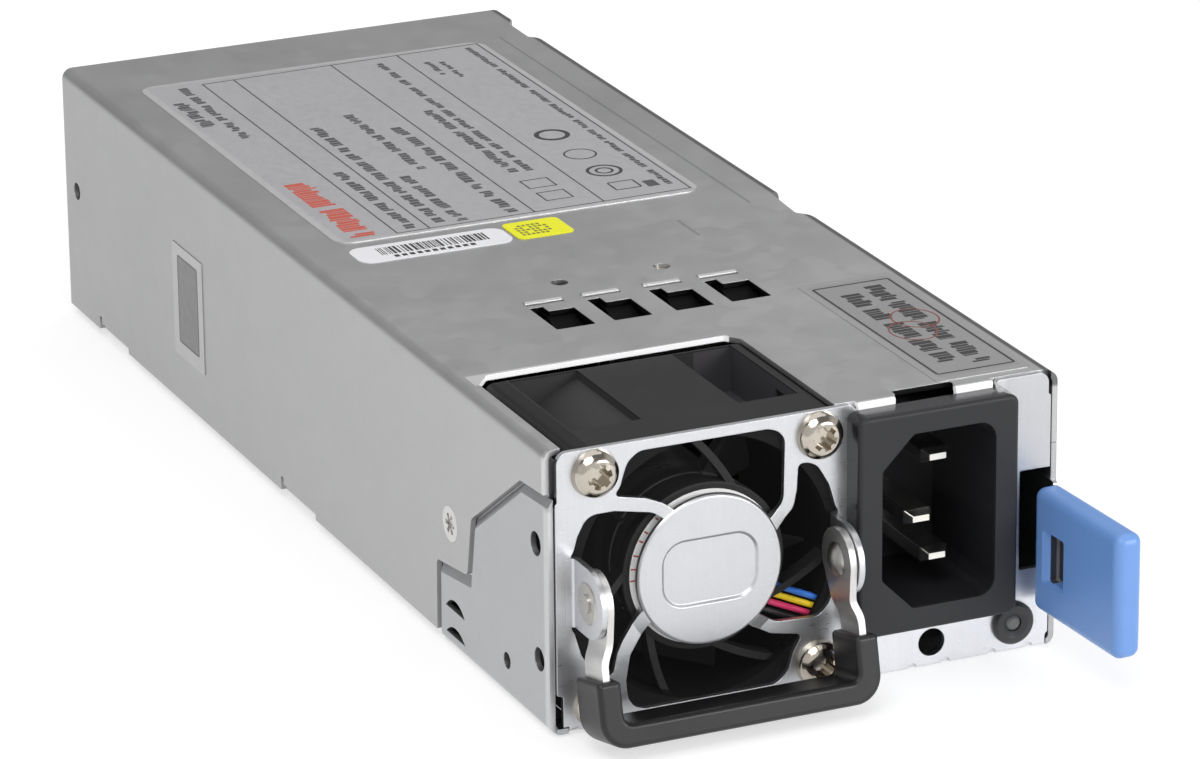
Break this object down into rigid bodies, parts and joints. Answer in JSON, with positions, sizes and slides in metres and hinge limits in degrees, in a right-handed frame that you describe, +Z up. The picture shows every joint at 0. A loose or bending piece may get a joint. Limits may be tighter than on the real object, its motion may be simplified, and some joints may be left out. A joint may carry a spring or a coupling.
{
  "type": "hot swap server power supply",
  "caption": "Slide-in redundant server power supply: steel case with fan and finger guard, folding pull handle, mains inlet, spring latch with blue tab, and rear card edge.",
  "frame": {"origin": "centre of the chassis's flat bottom face", "axes": "+Z up, +Y from the fan and inlet end towards the card edge, +X towards the latch side"},
  "size_m": [0.0761, 0.2186, 0.0393],
  "materials": {
    "galvanised_sheet": "satin zinc-coated sheet with faint spangle and rolling grain",
    "front_sheet": "bright zinc-plated sheet",
    "nickel_steel": "nickel-plated steel, satin",
    "spring_steel": "bare spring steel, satin",
    "post_brass": "machined",
    "grey_film": "thin insulating film, satin",
    "black_film": "thin insulating film, satin",
    "board_green": "solder mask over glass fibre",
    "contact_gold": "gold-plated copper",
    "black_plastic": "fine moulded texture",
    "fan_plastic": "glass-filled, satin",
    "impeller_plastic": "glass-filled, satin",
    "grip_plastic": "fine moulded texture",
    "blue_plastic": "satin moulded plastic",
    "blade_plate": "nickel-plated brass",
    "white_label": "coated label stock",
    "grey_label": "coated label stock",
    "yellow_label": "coated label stock",
    "lamination": "stacked steel sheet",
    "copper_wire": "enamelled copper",
    "bearing_steel": "ground",
    "ferrite": "sintered",
    "wire_blue": "wire insulation",
    "wire_yellow": "wire insulation",
    "wire_red": "wire insulation",
    "wire_black": "wire insulation",
    "lead_sleeve": "wire insulation",
    "nylon_white": "moulded nylon",
    "bezel_plastic": "satin",
    "lens_clear": "clear light pipe",
    "sink_aluminium": "extruded",
    "epoxy_black": "moulded package",
    "cap_sleeve": "shrunk sleeve",
    "film_yellow": "moulded case",
    "coil_tape": "polyester tape",
    "relay_case": "moulded case",
    "fuse_body": "glazed tube with end caps",
    "tinned_copper": "tin-plated copper bar"
  },
  "bodies": {
    "chassis": {"barcode_label": "white_label", "base_chassis": "galvanised_sheet", "bulk_capacitor": "cap_sleeve", "bus_bars": "tinned_copper", "card_edge_contacts": "contact_gold", "case_screws": "nickel_steel", "control_board": "board_green", "fan_bearings": "bearing_steel", "fan_connector": "nylon_white", "fan_frame": "fan_plastic", "fan_screws": "nickel_steel", "fan_stator": "lamination", "fan_sticker": "white_label", "fan_windings": "copper_wire", "fan_wire_black": "wire_black", "fan_wire_blue": "wire_blue", "fan_wire_red": "wire_red", "fan_wire_yellow": "wire_yellow", "filter_capacitors": "film_yellow", "filter_choke_core": "ferrite", "filter_choke_winding": "copper_wire", "front_panel": "front_sheet", "handle_ears": "front_sheet", "handle_rivets": "nickel_steel", "inlet_blades": "blade_plate", "inlet_board": "board_green", "inlet_housing": "black_plastic", "inlet_leads": "lead_sleeve", "inspection_sticker": "yellow_label", "insulation_sheet": "grey_film", "latch_rivets": "nickel_steel", "led_bezel": "bezel_plastic", "led_board": "board_green", "led_light_pipe": "lens_clear", "lid_insulator": "black_film", "line_fuse": "fuse_body", "main_board": "board_green", "main_transformer_coil": "coil_tape", "main_transformer_core": "ferrite", "output_capacitors": "cap_sleeve", "output_heat_sink": "sink_aluminium", "pcb_standoffs": "post_brass", "pfc_choke_core": "ferrite", "pfc_choke_winding": "copper_wire", "power_transistors": "epoxy_black", "primary_heat_sink": "sink_aluminium", "rating_label": "white_label", "rear_panel": "galvanised_sheet", "relay": "relay_case", "seal_sticker": "white_label", "side_sticker": "grey_label", "standby_transformer": "coil_tape", "top_cover": "galvanised_sheet"},
    "fan": {"fan_rotor": "impeller_plastic", "fan_magnet": "ferrite", "fan_shaft": "bearing_steel"},
    "handle": {"handle_strap": "spring_steel", "handle_grip": "grip_plastic"},
    "latch": {"latch_spring": "spring_steel", "latch_tab": "blue_plastic"}
  },
  "joints": [
    {"name": "fan_spin", "type": "hinge", "parent": "chassis", "child": "fan", "pos_m": [-0.0143, -0.077, 0.0195], "axis": [0, 1, 0], "continuous": true},
    {"name": "handle_swing", "type": "hinge", "parent": "chassis", "child": "handle", "pos_m": [-0.0146, -0.0966, 0.0195], "axis": [-1, 0, 0], "range_deg": [-4, 158]},
    {"name": "latch_flex", "type": "hinge", "parent": "chassis", "child": "latch", "pos_m": [0.03585, -0.04, 0.0172], "axis": [0, 0, -1], "range_deg": [0, 3.2], "stiffness_Nm_per_rad": 4}
  ]
}
